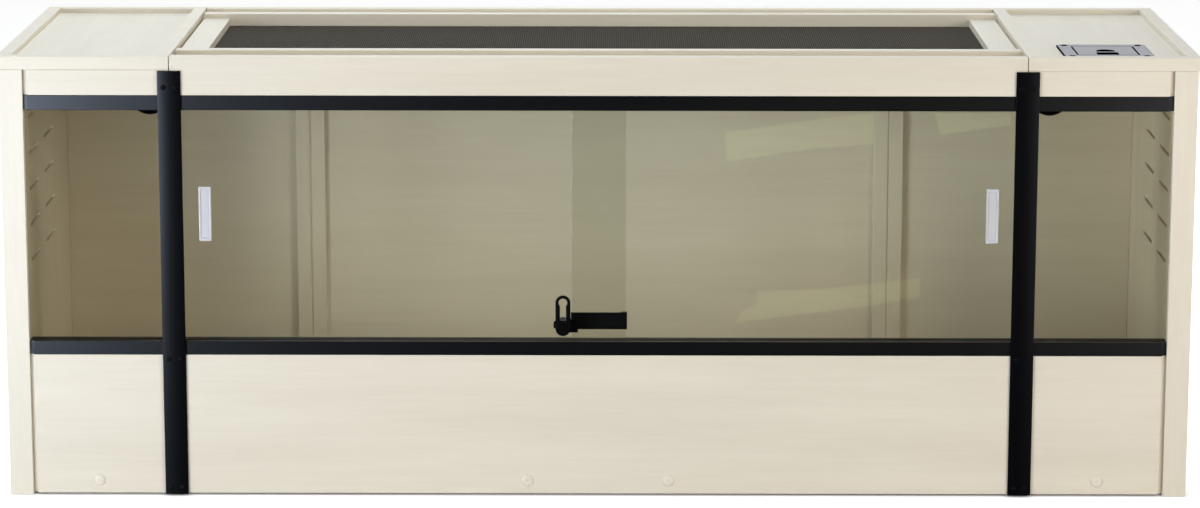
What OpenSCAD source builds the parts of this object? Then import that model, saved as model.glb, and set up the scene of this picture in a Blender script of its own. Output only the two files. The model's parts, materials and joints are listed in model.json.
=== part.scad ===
// Front-opening reptile terrarium: a flat-packed board cabinet in three bays.
// The wide middle bay has two sliding glass doors in a two-groove track, a lift-off mesh screen
// above and a ratchet lock between the doors. The side bays have fixed panes, vented end
// panels, cable grommets in the back and closed top trays, the right one with a feeding hatch.
// X is the width, Y runs from the front (-) to the back (+), Z is up from the floor.

/* [Cabinet] */
// Overall width, across the top trays
width = 1600; // [1450:10:1900]
// Depth of the cabinet from the faces of the front boards to the back edge
depth = 500; // [440:10:700]
// Overall height
height = 600; // [560:10:900]
// Thickness of the coated boards
board = 18; // [15:1:20]
// Width of each side bay, from the joint line to the end of its tray
bay_w = 230; // [205:5:280]
// Width of the corner posts, seen from the front
post_w = 31; // [26:1:40]
// How far the trays stand out past the posts
overhang = 4; // [2:1:8]
// How far the end panels lie inside the outer faces of the posts
panel_inset = 2; // [1:1:4]
// Width of the shadow groove beside each post
reveal = 6; // [3:1:9]
// Depth of the shadow groove
reveal_d = 5; // [3:1:8]
// Height of the nylon glides under the boards
glide_h = 3; // [2:1:6]
// Diameter of the glides
glide_d = 24; // [18:1:32]
// Distance of the glides from the ends and edges of the boards
glide_in = 40; // [30:1:60]
// How far the back panels lie in from the back edge
back_inset = 2; // [1:1:6]
// Gap of the butt joints between the boards
seam = 1; // [0.5:0.5:2]

/* [Front] */
// Height of the kickboards
kick_h = 192; // [120:1:240]
// Height of the middle fascia board
fascia_h = 52; // [44:1:80]
// Depth of the glass tracks
track_w = 30; // [28:1:40]
// Height of the bottom track
track_h = 18.6; // [16:0.2:24]
// Height of the top track
top_track_h = 20; // [18:1:28]
// Distance from the board faces to the first groove
groove_y = 8; // [6:0.5:9]
// Width of a groove
groove_w = 5; // [5:0.1:5.6]
// Distance from one groove to the next
groove_pitch = 9; // [8.8:0.1:10]
// Depth of the bottom grooves
groove_d = 12; // [8:1:14]
// Depth of the top grooves, deep enough to lift the doors in
lift_d = 16; // [14:1:17]
// Thickness of the glass
glass_t = 4; // [3.6:0.1:4.2]
// Overlap of the two doors, half on each side of the middle
door_lap = 72; // [60:2:100]
// Shift of the door overlap to the right of the middle
lap_shift = 1; // [0:0.5:4]
// Height of the doors' top edges in the top grooves
door_rise = 12; // [10:1:13]
// Width of the black joint battens
batten_w = 31; // [25:1:40]
// Thickness of the joint battens
batten_t = 4; // [3:0.5:6]
// Thickness of the divider behind a batten
divider_t = 3; // [2:0.5:4]
// Distance of each screw from the joint line
screw_off = 7.5; // [6:0.5:10]
// Diameter of the screw heads
screw_d = 7; // [5:0.5:9]
// Distance of the end screws from the ends of the batten
screw_end = 10; // [8:1:20]
// Diameter of the cam caps
cap_d = 16; // [12:1:20]
// Height of the cam caps above the floor
cap_z = 21; // [15:1:60]
// Distance of the inner cam caps from the middle
cap_in = 95.5; // [60:0.5:200]
// Distance of the outer cam caps from the joint line
cap_out = 105; // [60:1:140]

/* [Finger pulls] */
// Width of a finger pull
pull_w = 16.5; // [12:0.5:24]
// Length of a finger pull
pull_l = 74; // [50:1:100]
// Thickness of a finger pull
pull_t = 2.7; // [2:0.1:3]
// Distance of the pulls from the outer edges of the doors
pull_in = 41; // [30:1:60]
// Width of the flat rim round a pull's hollow
pull_rim = 2.5; // [2:0.5:4]
// Depth of a pull's hollow
pull_dish = 1.4; // [0.8:0.1:1.6]
// Height of the pulls' middles above the floor
pull_z = 385; // [340:1:420]

/* [Lock] */
// Diameter of the lock barrel
lock_d = 20; // [18:1:22]
// Distance from the front door's edge to the barrel's axis
lock_off = 12; // [11:0.5:14]
// Height of the barrel's axis above the bottom track
lock_z = 20.4; // [17:0.2:40]
// Height of the lever above the barrel's axis
lever_h = 45.5; // [35:0.5:60]
// Thickness of the lever
lever_t = 2.7; // [2:0.1:4]
// Diameter of the spindle that carries the lever
spindle_d = 8; // [6:0.5:10]
// How far the barrel stands out in front of the board faces
lock_out = 9; // [4:1:14]
// Height of the ratchet bar
bar_h = 23; // [18:1:30]
// Thickness of the ratchet bar
bar_t = 2; // [1.5:0.1:2.2]
// Height of the toothed tongue
tongue_h = 10; // [8:0.5:11]
// Distance from one ratchet tooth to the next
tooth = 3; // [2:0.5:4]
// Thickness of the hook behind the rear door
hook_t = 1.6; // [1:0.1:2]
// How far the hook reaches behind the rear door
hook_l = 6; // [4:0.5:10]
// Thickness of the clip's cheeks on the front door
clip_t = 1.4; // [1:0.1:1.5]
// How far the clip reaches over the front door
clip_l = 8; // [6:0.5:12]

/* [Top] */
// Height of the tray rims
rim_h = 18; // [14:1:24]
// Thickness of the tray panels
tray_t = 11; // [9:0.5:14]
// Distance from the front to the screen
screen_y = 63; // [40:1:90]
// Distance from the screen to the back edge
screen_back = 57; // [45:1:80]
// Width of the screen's end boards
end_w = 35; // [25:1:60]
// Gap between the screen and each tray
screen_gap = 5; // [3:0.5:8]
// Thickness of the mesh sheet
mesh_t = 1; // [0.6:0.1:2]
// Width of the mesh wires
wire_w = 3; // [2:0.5:5]
// Number of mesh gaps along the width
mesh_nx = 24; // [10:1:26]
// Number of mesh gaps along the depth
mesh_ny = 10; // [6:1:11]
// Width of the shelf under each side of the screen
shelf = 7; // [5:1:12]
// Width of the rails under the trays' inner edges
cross_w = 30; // [25:1:50]
// Height of those rails
cross_h = 20; // [18:1:24]

/* [Back and vents] */
// Distance of the back joints from the front joint lines, towards the middle
back_joint_in = 149; // [90:1:250]
// Width of the strips over the back joints
strip_w = 42; // [30:1:60]
// Thickness of the strips
strip_t = 10; // [6:1:14]
// Width and depth of the line down each strip
strip_line = 2; // [1:0.5:3]
// Distance of the grommets from the middle
grommet_x = 655; // [620:1:700]
// Distance of the grommets' middles below the top
grommet_drop = 126; // [110:1:160]
// Diameter of a grommet's bore
grommet_bore = 44; // [30:1:50]
// Wall of a grommet's sleeve
grommet_wall = 2.8; // [2:0.2:4]
// Width of a grommet's flange past its sleeve
grommet_flange = 4.2; // [3:0.2:8]
// Length of a vent slot
slot_l = 86; // [60:1:100]
// Height of a vent slot
slot_h = 5; // [4:0.5:8]
// Vent slots in each column
slot_rows = 5; // [3:1:6]
// Distance from one slot to the next above it
slot_pitch = 49.3; // [30:0.1:50]
// Height of the lowest slots
slot_z = 302; // [240:1:310]
// Distance from the front to the first column's middle
slot_y = 157; // [100:1:170]
// Distance from one column to the next
slot_dy = 139; // [110:1:160]

/* [Feeding hatch] */
// Width and length of the hatch plate
hatch_w = 118; // [110:1:130]
// Thickness of the plate
hatch_t = 2.5; // [2:0.1:3.5]
// Distance from the front to the hatch's middle
hatch_y = 98; // [90:1:200]
// Distance of the hatch's middle from the joint line
hatch_x = 114; // [95:1:120]
// Width of the lid
lid_w = 80; // [70:1:86]
// Distance from the plate's front edge to the lid
lid_in = 22; // [18:1:26]
// Distance from the lid's front edge to the hinge pin
lid_l = 77; // [70:1:79]
// Gap round the lid
lid_c = 1; // [0.4:0.1:1.2]
// Diameter of the hinge knuckle
knuckle_d = 6.6; // [6:0.2:7.4]
// Diameter of the hinge pin
pin_d = 3; // [2.4:0.1:3.4]
// Wall of the collar that drops through the tray panel
collar_t = 3.6; // [3:0.2:5]
// Distance between the hatch screws
hatch_screws_w = 100; // [98:1:104]
// Diameter of the hatch screws' heads
hatch_screw_d = 8; // [6:0.5:9]
// Distance from the lid's front edge to the finger hole
finger_in = 30; // [26:1:34]
// Width of the D-shaped finger hole
finger_d = 24; // [18:1:28]
// Depth of the finger hole's straight part
finger_l = 6; // [2:1:10]
// Width of the snap latch
latch_w = 29; // [20:1:34]
// Length of the snap latch
latch_l = 16; // [10:1:20]
// Distance from the lid's front edge to the snap latch
latch_in = 2; // [2:0.5:4]

/* [Clearances] */
// Gap between parts that slide or turn on each other
slide_c = 0.3; // [0.2:0.05:0.4]
// Gap round parts that are pressed or dropped in
fit_c = 0.2; // [0.1:0.05:0.3]
// Gap round pins and spindles that something turns on
turn_c = 0.06; // [0.02:0.01:0.1]

/* [Hidden] */
$fn = 48;

cream = "#E9E3D6";
black = "#26272A";
grey = "#8B8C8F";
clear_glass = [0.78, 0.86, 0.82, 0.35];
frosted = "#EDEFEC";
nylon = "#C9C7C0";

// Places along X, taken to the right of the middle.
post_x1 = width / 2 - overhang;         // outer faces of the posts
post_x0 = post_x1 - post_w;             // inner faces of the posts
panel_x1 = post_x1 - panel_inset;       // outer faces of the end panels
panel_x0 = panel_x1 - board;            // inner faces of the end panels
face_x1 = post_x0 - reveal;             // outer ends of the front boards
joint_x = width / 2 - bay_w;            // joint lines between the bays
board_x = joint_x - seam / 2;           // half the length of the middle boards
back_joint = joint_x - back_joint_in;   // joints of the back panels
screen_x1 = joint_x - screen_gap;       // outer ends of the screen
screen_x0 = screen_x1 - end_w;          // inner edges of the screen's end boards
door_x1 = joint_x - divider_t / 2 - 0.5;    // outer edges of the doors
pane_x0 = joint_x + divider_t / 2 + 0.5;    // inner edges of the fixed panes
pane_x1 = post_x0 - 0.5;                    // outer edges of the fixed panes
right_door_x0 = lap_shift - door_lap / 2;   // inner edge of the front, right door
left_door_x1 = lap_shift + door_lap / 2;    // inner edge of the rear, left door

// Places along Y, measured from the front faces of the boards.
front = -depth / 2;
back_y1 = depth - back_inset;
back_y0 = back_y1 - board;
rear_y0 = depth - board;
screen_y1 = depth - screen_back;
glass_gap = (groove_w - glass_t) / 2;
front_glass_y = groove_y + glass_gap;
rear_glass_y = front_glass_y + groove_pitch;

// Places along Z.
kick_top = glide_h + kick_h;
sill_z = kick_top + track_h;
head_z = height - fascia_h - top_track_h;
fascia_z = height - fascia_h;
rim_z = height - rim_h;
tray_z = rim_z + tray_t;
mesh_z = rim_z - mesh_t;
grommet_z = height - grommet_drop;
ledge_z = mesh_z - slide_c;
groove_floor = sill_z - groove_d;
batten_z0 = 2;
batten_z1 = rim_z - 1;

// Lock, in the plane of the doors.
lock_x = right_door_x0 - lock_off;
lock_axis_z = sill_z + lock_z;
bar_y1 = rear_glass_y - 0.7;
bar_y0 = bar_y1 - bar_t;
barrel_y0 = -lock_out;
barrel_y1 = rear_glass_y - 0.4;
barrel_land = bar_y0 - slide_c;

// Hatch, on the right tray.
hatch_cx = joint_x + hatch_x;
hatch_top = tray_z + hatch_t;
hatch_y0 = hatch_y - hatch_w / 2;
lid_y0 = hatch_y0 + lid_in;
hinge_y = lid_y0 + lid_l;
hinge_z = hatch_top - knuckle_d / 2;
well_w = lid_w + 2 * lid_c;
well_y0 = lid_y0 - lid_c;
well_y1 = hinge_y + knuckle_d / 2 + 0.7;
well_z = rim_z - 2;

// A box from one corner to the opposite one, its Y measured from the front.
module block(a, b) {
    translate([a[0], a[1] + front, a[2]]) cube([b[0] - a[0], b[1] - a[1], b[2] - a[2]]);
}

// Draws a right-hand piece, and its mirror image on the left for side = -1.
module on_side(side) {
    mirror([side < 0 ? 1 : 0, 0, 0]) children();
}

// Runs a section drawn in Y and Z along X, from x0 to x1.
module run_x(x0, x1) {
    translate([x0, front, 0]) rotate([90, 0, 90]) linear_extrude(x1 - x0) children();
}

// A plate drawn in X and Z, from y0 to y1 behind the front.
module plate_y(y0, y1) {
    translate([0, y1 + front, 0]) rotate([90, 0, 0]) linear_extrude(y1 - y0) children();
}

// A round bar along Y, from y0 to y1 behind the front.
module rod_y(x, z, d, y0, y1) {
    translate([x, y0 + front, z]) rotate([-90, 0, 0]) cylinder(d = d, h = y1 - y0);
}

// A rectangle with true round corners, centred.
module round_rect(w, h, r) {
    square([w - 2 * r, h], center = true);
    square([w, h - 2 * r], center = true);
    for (x = [-1, 1], y = [-1, 1]) {
        translate([x * (w / 2 - r), y * (h / 2 - r)]) circle(r = r);
    }
}

// A slot with round ends, centred, its length along the first axis.
module slot(l, h) {
    square([l - h, h], center = true);
    for (x = [-1, 1]) {
        translate([x * (l - h) / 2, 0]) circle(d = h);
    }
}

// ---- Board cabinet ----

// End panel with two columns of vent slots.
module side_panel(side) {
    color(cream) on_side(side) difference() {
        block([panel_x0, board, 0], [panel_x1, depth, rim_z]);
        for (col = [0, 1], row = [0 : slot_rows - 1]) {
            translate([panel_x0 - 1, front + slot_y + col * slot_dy, slot_z + row * slot_pitch])
                rotate([90, 0, 90]) linear_extrude(board + 2) slot(slot_l, slot_h);
        }
    }
}

module post(side) {
    color(cream) on_side(side) block([post_x0, 0, 0], [post_x1, board, rim_z]);
}

module floor_board(x0, x1) {
    color(cream) block([x0, board, glide_h], [x1, back_y0, glide_h + board]);
}

// Back panel of a side bay, with the bore for its cable grommet.
module back_side(side) {
    color(cream) on_side(side) difference() {
        block([back_joint + seam / 2, back_y0, glide_h], [panel_x0, back_y1, rim_z]);
        rod_y(grommet_x, grommet_z, grommet_bore + 2 * (grommet_wall + fit_c), back_y0 - 1, back_y1 + 1);
    }
}

module back_middle() {
    color(cream) block(
        [-back_joint + seam / 2, back_y0, glide_h], [back_joint - seam / 2, back_y1, rim_z]);
}

// Strip over a back joint, with a line down its middle.
module back_strip(side) {
    color(cream) on_side(side) difference() {
        block([back_joint - strip_w / 2, back_y0 - strip_t, glide_h + board],
            [back_joint + strip_w / 2, back_y0, ledge_z - board]);
        block([back_joint - strip_line / 2, back_y0 - strip_t - 1, glide_h + board - 1],
            [back_joint + strip_line / 2, back_y0 - strip_t + strip_line, ledge_z - board + 1]);
    }
}

// Front board of a side bay, with the recessed tongue in the shadow groove.
module bay_board(side, z0, z1) {
    color(cream) on_side(side) {
        run_x(joint_x + seam / 2, face_x1) translate([0, z0]) square([board, z1 - z0]);
        run_x(face_x1, post_x0) translate([reveal_d, z0]) square([board - reveal_d, z1 - z0]);
    }
}

module middle_board(z0, z1) {
    color(cream) block([-board_x, 0, z0], [board_x, board, z1]);
}

// ---- Top ----

// Tray panel, the right one with the well for the hatch's collar.
module tray_panel(side, hatch = false) {
    color(cream) on_side(side) difference() {
        block([joint_x + board, board, rim_z], [width / 2 - board, rear_y0, tray_z]);
        if (hatch) {
            block([hatch_cx - well_w / 2 - collar_t - fit_c, well_y0 - collar_t - fit_c, rim_z - 1],
                [hatch_cx + well_w / 2 + collar_t + fit_c, well_y1 + collar_t + fit_c, tray_z + 1]);
        }
    }
}

// Rim round a tray: full strips in front and behind, shorter ones between them.
module tray_rim(side) {
    x0 = joint_x + seam / 2;
    x1 = width / 2;
    color(cream) on_side(side) {
        block([x0, 0, rim_z], [x1, board, height]);
        block([x0, rear_y0, rim_z], [x1, depth, height]);
        block([x0, board, rim_z], [joint_x + board, rear_y0, height]);
        block([x1 - board, board, rim_z], [x1, rear_y0, height]);
    }
}

// Rails from front to back that carry the trays' inner edges.
module cross_rails() {
    for (side = [-1, 1]) {
        color(cream) on_side(side)
            block([joint_x, board, rim_z - cross_h], [joint_x + cross_w, back_y0, rim_z]);
    }
}

module ledge(y0, y1) {
    color(cream) block([-joint_x, y0, ledge_z - board], [joint_x, y1, ledge_z]);
}

module rear_rail() {
    color(cream) block([-board_x, rear_y0, rim_z], [board_x, depth, height]);
}

module screen_rails() {
    for (y = [screen_y, screen_y1 - board]) {
        color(cream) block([-screen_x1, y, rim_z], [screen_x1, y + board, height]);
    }
}

module screen_ends() {
    for (side = [-1, 1]) {
        color(cream) on_side(side)
            block([screen_x0, screen_y + board, rim_z], [screen_x1, screen_y1 - board, tray_z]);
    }
}

// Mesh sheet under the screen's frame: a solid hem, and gaps between the wires.
module screen_mesh() {
    y0 = screen_y + board;
    dx = (2 * screen_x0 - wire_w) / mesh_nx;
    dy = (screen_y1 - board - y0 - wire_w) / mesh_ny;
    color(black) translate([0, front, mesh_z]) linear_extrude(mesh_t) difference() {
        translate([-screen_x1, screen_y]) square([2 * screen_x1, screen_y1 - screen_y]);
        for (i = [0 : mesh_nx - 1], j = [0 : mesh_ny - 1]) {
            translate([-screen_x0 + wire_w + i * dx, y0 + wire_w + j * dy])
                square([dx - wire_w, dy - wire_w]);
        }
    }
}

// ---- Glass front ----

// Section of a two-groove track, its grooves opening upwards; flip turns it over.
module track_section(h, d) {
    difference() {
        square([track_w, h]);
        for (i = [0, 1]) {
            translate([groove_y + i * groove_pitch, h - d]) square([groove_w, d + 1]);
        }
    }
}

module track_bottom(x0, x1) {
    color(black) run_x(x0, x1) translate([0, kick_top]) track_section(track_h, groove_d);
}

module track_top(x0, x1) {
    color(black) run_x(x0, x1)
        translate([0, fascia_z]) mirror([0, 1]) track_section(top_track_h, lift_d);
}

// Track of a side bay: its front wall stops at the shadow groove, the rest meets the post.
module bay_track(side, top) {
    on_side(side) difference() {
        if (top) {
            track_top(joint_x + seam / 2, post_x0);
        } else {
            track_bottom(joint_x + seam / 2, post_x0);
        }
        block([face_x1, -1, kick_top - 1], [post_x0 + 1, reveal_d, fascia_z + 1]);
    }
}

// Fixed pane of a side bay, in the front groove.
module fixed_pane(side) {
    color(clear_glass) on_side(side) block([pane_x0, front_glass_y, groove_floor],
        [pane_x1, front_glass_y + glass_t, head_z + door_rise]);
}

// Rear door, in the inner groove, to the left.
module door_left() {
    color(clear_glass) block([-door_x1, rear_glass_y, groove_floor + slide_c],
        [left_door_x1, rear_glass_y + glass_t, head_z + door_rise]);
}

// Front door, in the outer groove, to the right.
module door_right() {
    color(clear_glass) block([right_door_x0, front_glass_y, groove_floor + slide_c],
        [door_x1, front_glass_y + glass_t, head_z + door_rise]);
}

// Stuck-on finger pull: a plate with nearly square corners and a long hollow in its face.
module finger_pull(x, glass_y) {
    color(frosted) difference() {
        plate_y(glass_y - pull_t, glass_y) translate([x, pull_z]) round_rect(pull_w, pull_l, 1);
        plate_y(glass_y - pull_t - 1, glass_y - pull_t + pull_dish) translate([x, pull_z])
            round_rect(pull_w - 2 * pull_rim, pull_l - 3 * pull_rim, 1.5);
    }
}

// Ratchet bar on the rear door: a hook round the door's edge, a flat, and a toothed tongue.
module lock_bar() {
    z0 = lock_axis_z - tongue_h / 2 - 1;
    x0 = lock_x - lock_d / 2 - 3;
    x1 = lock_x + lock_d / 2 + slide_c;
    teeth = floor((x1 - x0) / tooth);
    y_hook = rear_glass_y + glass_t;
    color(black) {
        plate_y(bar_y0, bar_y1) {
            translate([x1 - 0.01, z0]) square([left_door_x1 + bar_t - x1, bar_h]);
            difference() {
                translate([x0, lock_axis_z - tongue_h / 2]) square([x1 - x0, tongue_h]);
                for (i = [0 : teeth - 1]) {
                    translate([x0 + i * tooth, lock_axis_z + tongue_h / 2])
                        polygon([[0, 1], [0, -1.4], [tooth * 0.7, 0], [tooth * 0.7, 1]]);
                }
            }
        }
        block([left_door_x1 - 2 * hook_l, bar_y1 - 0.01, z0],
            [left_door_x1 + bar_t, rear_glass_y, z0 + bar_h]);
        block([left_door_x1, rear_glass_y - 0.01, z0],
            [left_door_x1 + bar_t, y_hook + hook_t, z0 + bar_h]);
        block([left_door_x1 - hook_l, y_hook, z0],
            [left_door_x1 + bar_t / 2, y_hook + hook_t, z0 + bar_h]);
    }
}

// Lock barrel on the front door's edge: a clip, a guide for the tongue, a spindle and a cap.
module lock_barrel() {
    clip_h = lock_d - 2;
    clip_x0 = lock_x + 5;
    clip_x1 = right_door_x0 + clip_l;
    slit_y1 = front_glass_y + glass_t + slide_c;
    cap_y = barrel_y0 - lever_t - 2 * slide_c;
    color(black) {
        difference() {
            union() {
                rod_y(lock_x, lock_axis_z, lock_d, barrel_y0, barrel_y1);
                block([clip_x0, front_glass_y - slide_c - clip_t, lock_axis_z - clip_h / 2],
                    [clip_x1, slit_y1 + clip_t, lock_axis_z + clip_h / 2]);
            }
            block([right_door_x0 - slide_c, front_glass_y - slide_c, lock_axis_z - lock_d],
                [clip_x1 + 1, slit_y1, lock_axis_z + lock_d]);
            block([lock_x - lock_d, barrel_land, lock_axis_z - tongue_h / 2 - slide_c],
                [lock_x + lock_d, barrel_y1 + 1, lock_axis_z + tongue_h / 2 + slide_c]);
        }
        rod_y(lock_x, lock_axis_z, spindle_d, cap_y - 0.01, barrel_y0 + 0.01);
        difference() {
            rod_y(lock_x, lock_axis_z, lock_d - 2, cap_y - 2, cap_y);
            block([lock_x - 0.8, cap_y - 3, lock_axis_z - 3.5],
                [lock_x + 0.8, cap_y - 0.8, lock_axis_z + 3.5]);
        }
    }
}

// Lever that turns on the spindle: an upright loop with a keyhole-shaped window.
module lock_lever() {
    top = lever_h - lock_d / 2;
    color(black) difference() {
        plate_y(barrel_y0 - slide_c - lever_t, barrel_y0 - slide_c)
            translate([lock_x, lock_axis_z]) difference() {
                union() {
                    circle(d = lock_d);
                    translate([-lock_d / 2, 0]) square([lock_d, top]);
                    translate([0, top]) circle(d = lock_d);
                }
                translate([0, top]) circle(d = lock_d * 0.59);
                translate([-lock_d / 5, lock_d / 2 + 1]) square([lock_d * 0.4, top - lock_d / 2]);
            }
        rod_y(lock_x, lock_axis_z, spindle_d + 2 * turn_c, barrel_y0 - lever_t - 1, barrel_y0);
    }
}

// Joint batten: a flat face strip, and the divider between a door and a fixed pane.
module batten(side) {
    color(black) on_side(side) {
        block([joint_x - batten_w / 2, -batten_t, batten_z0],
            [joint_x + batten_w / 2, 0, batten_z1]);
        block([joint_x - divider_t / 2, -0.01, sill_z],
            [joint_x + divider_t / 2, track_w, head_z]);
    }
}

// Screws in pairs at the ends of the battens and at the tops of the kickboards.
module batten_screws() {
    for (side = [-1, 1], off = [-1, 1],
        z = [batten_z0 + screw_end, kick_top - screw_d / 2 - 2, batten_z1 - 2.2 * screw_end]) {
        color(black) pan_head(side * joint_x + off * screw_off, z);
    }
}

module pan_head(x, z) {
    translate([x, front - batten_t, z]) rotate([90, 0, 0]) rotate_extrude() polygon(
        [[0, 0], [screw_d / 2, 0], [screw_d / 2 - 0.3, 1.2], [screw_d / 2 - 1.4, 2], [0, 2]]);
}

// Round caps over the cam bolts in the kickboards.
module cam_caps() {
    for (x = [-joint_x - cap_out, -cap_in, cap_in, joint_x + cap_out]) {
        color(cream) translate([x, front, cap_z]) rotate([90, 0, 0]) rotate_extrude() polygon(
            [[0, 0], [cap_d / 2, 0], [cap_d / 2, 0.5], [cap_d / 2 - 1, 1.2], [0, 1.4]]);
    }
}

// ---- Back, floor and hatch fittings ----

// Cable grommet: a flange on the inner face and a sleeve through the panel.
module grommet(side) {
    r0 = grommet_bore / 2;
    r1 = r0 + grommet_wall;
    r2 = r1 + grommet_flange;
    color(black) on_side(side) translate([grommet_x, front + back_y0, grommet_z])
        rotate([-90, 0, 0]) rotate_extrude() polygon([
            [r0, -1.5], [r0 + 1.5, -3], [r2 - 1, -3], [r2, -2], [r2, 0], [r1, 0],
            [r1, board], [r0, board]]);
}

// Glides in a front and a back row, and one under the very middle.
module glides() {
    inner = [joint_x / 3, joint_x - glide_in, panel_x0 - glide_in];
    for (side = [-1, 1], x = inner, y = [board + glide_in, back_y0 - glide_in]) {
        glide(side * x, front + y);
    }
    glide(0, 0);
}

module glide(x, y) {
    color(nylon) translate([x, y, 0]) cylinder(d = glide_d, h = glide_h);
}

// Hatch plate: a flat frame with countersunk corners, and the collar that lines the well.
module hatch_plate() {
    yc = (well_y0 + well_y1) / 2;
    well_l = well_y1 - well_y0;
    color(grey) difference() {
        union() {
            translate([hatch_cx, front + hatch_y, tray_z])
                linear_extrude(hatch_t) round_rect(hatch_w, hatch_w, 4);
            translate([hatch_cx, front + yc, well_z]) linear_extrude(tray_z - well_z + 0.01)
                square([well_w + 2 * collar_t, well_l + 2 * collar_t], center = true);
        }
        translate([hatch_cx, front + yc, well_z - 1]) linear_extrude(hatch_top - well_z + 2)
            square([well_w, well_l], center = true);
        run_x(hatch_cx - well_w / 2, hatch_cx + well_w / 2) polygon([
            [well_y1 - 1, hatch_top - 2], [well_y1, hatch_top - 2],
            [well_y1 + 3, hatch_top + 1], [well_y1 - 1, hatch_top + 1]]);
        translate([hatch_cx - well_w / 2 - collar_t - 1, front + hinge_y, hinge_z])
            rotate([0, 90, 0]) cylinder(d = pin_d, h = well_w + 2 * collar_t + 2);
        hatch_corners() {
            translate([0, 0, hatch_top - 1.6])
                cylinder(d1 = hatch_screw_d - 3.2 + fit_c, d2 = hatch_screw_d + fit_c, h = 1.61);
            translate([0, 0, tray_z - 1])
                cylinder(d = hatch_screw_d - 3.2 + fit_c, h = hatch_t);
        }
    }
    color(grey) block([hatch_cx - latch_w / 2, well_y0 - 0.01, tray_z - 4],
        [hatch_cx + latch_w / 2, well_y0 + 2.5, tray_z - slide_c]);
}

module hatch_corners() {
    for (x = [-1, 1], y = [-1, 1]) {
        translate([hatch_cx + x * hatch_screws_w / 2, front + hatch_y + y * hatch_screws_w / 2, 0])
            children();
    }
}

// Lid with its knuckle, a finger hole and the window for the snap latch.
module hatch_lid() {
    finger_y = lid_y0 + finger_in;
    color(grey) difference() {
        union() {
            block([hatch_cx - lid_w / 2, lid_y0, tray_z], [hatch_cx + lid_w / 2, hinge_y, hatch_top]);
            translate([hatch_cx - lid_w / 2, front + hinge_y, hinge_z])
                rotate([0, 90, 0]) cylinder(d = knuckle_d, h = lid_w);
        }
        translate([hatch_cx - lid_w, front + hinge_y, hinge_z])
            rotate([0, 90, 0]) cylinder(d = pin_d + 2 * turn_c, h = 2 * lid_w);
        translate([hatch_cx, front + finger_y, tray_z - 1]) linear_extrude(hatch_t + 2)
            intersection() {
                union() {
                    translate([0, finger_l]) circle(d = finger_d);
                    translate([-finger_d / 2, 0]) square([finger_d, finger_l]);
                }
                translate([-finger_d / 2, 0]) square([finger_d, finger_d]);
            }
        block([hatch_cx - latch_w / 2, lid_y0 + latch_in, tray_z - 1],
            [hatch_cx + latch_w / 2, lid_y0 + latch_in + latch_l, hatch_top + 1]);
    }
}

// Snap latch that fills the lid's window, its ribbed thumb pad lower than the lid.
module hatch_latch() {
    y0 = lid_y0 + latch_in;
    color(black) run_x(hatch_cx - latch_w / 2, hatch_cx + latch_w / 2) polygon([
        [y0, tray_z], [y0 + latch_l, tray_z], [y0 + latch_l, hatch_top - 0.4],
        [y0 + latch_l - 1.5, hatch_top - 1.2], [y0 + 1.5, hatch_top - 1.2],
        [y0, hatch_top - 0.4]]);
}

module hatch_pin() {
    l = well_w + 2 * collar_t - 1;
    color("silver") translate([hatch_cx - l / 2, front + hinge_y, hinge_z])
        rotate([0, 90, 0]) cylinder(d = pin_d, h = l);
}

module hatch_screws() {
    color(black) hatch_corners() translate([0, 0, tray_z]) rotate_extrude() polygon([
        [0, 0], [hatch_screw_d / 2 - 1.6, 0], [hatch_screw_d / 2 - 1.6, hatch_t - 1.6],
        [hatch_screw_d / 2, hatch_t], [0, hatch_t]]);
}

side_panel(-1);  // side_panel_left
side_panel(1);  // side_panel_right
post(-1);  // post_left
post(1);  // post_right
floor_board(-panel_x0, -board_x - seam);  // floor_left
floor_board(-board_x, board_x);  // floor_middle
floor_board(board_x + seam, panel_x0);  // floor_right
back_side(-1);  // back_left
back_middle();
back_side(1);  // back_right
back_strip(-1);  // back_strip_left
back_strip(1);  // back_strip_right
bay_board(-1, glide_h, kick_top);  // kick_left
middle_board(glide_h, kick_top);  // kick_middle
bay_board(1, glide_h, kick_top);  // kick_right
bay_board(-1, fascia_z, rim_z);  // fascia_left
middle_board(fascia_z, height);  // fascia_middle
bay_board(1, fascia_z, rim_z);  // fascia_right
tray_panel(-1);  // tray_panel_left
tray_panel(1, true);  // tray_panel_right
tray_rim(-1);  // tray_rim_left
tray_rim(1);  // tray_rim_right
cross_rails();
ledge(board, screen_y + shelf);  // ledge_front
ledge(screen_y1 - shelf, back_y0);  // ledge_back
rear_rail();
screen_rails();
screen_ends();
screen_mesh();
bay_track(-1, false);  // track_bottom_left
track_bottom(-board_x, board_x);  // track_bottom_middle
bay_track(1, false);  // track_bottom_right
bay_track(-1, true);  // track_top_left
track_top(-board_x, board_x);  // track_top_middle
bay_track(1, true);  // track_top_right
fixed_pane(-1);  // pane_left
fixed_pane(1);  // pane_right
door_left();
door_right();
finger_pull(-door_x1 + pull_in, rear_glass_y);  // pull_left
finger_pull(door_x1 - pull_in, front_glass_y);  // pull_right
lock_bar();
lock_barrel();
lock_lever();
batten(-1);  // batten_left
batten(1);  // batten_right
batten_screws();
cam_caps();
grommet(-1);  // grommet_left
grommet(1);  // grommet_right
hatch_plate();
hatch_lid();
hatch_latch();
hatch_pin();
hatch_screws();
glides();
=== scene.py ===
import json
import math

import bmesh
import bpy
import numpy as np
from bpy.props import FloatProperty, FloatVectorProperty, PointerProperty
from bpy.types import Operator, Panel, PropertyGroup
from mathutils import Matrix, Vector


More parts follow.
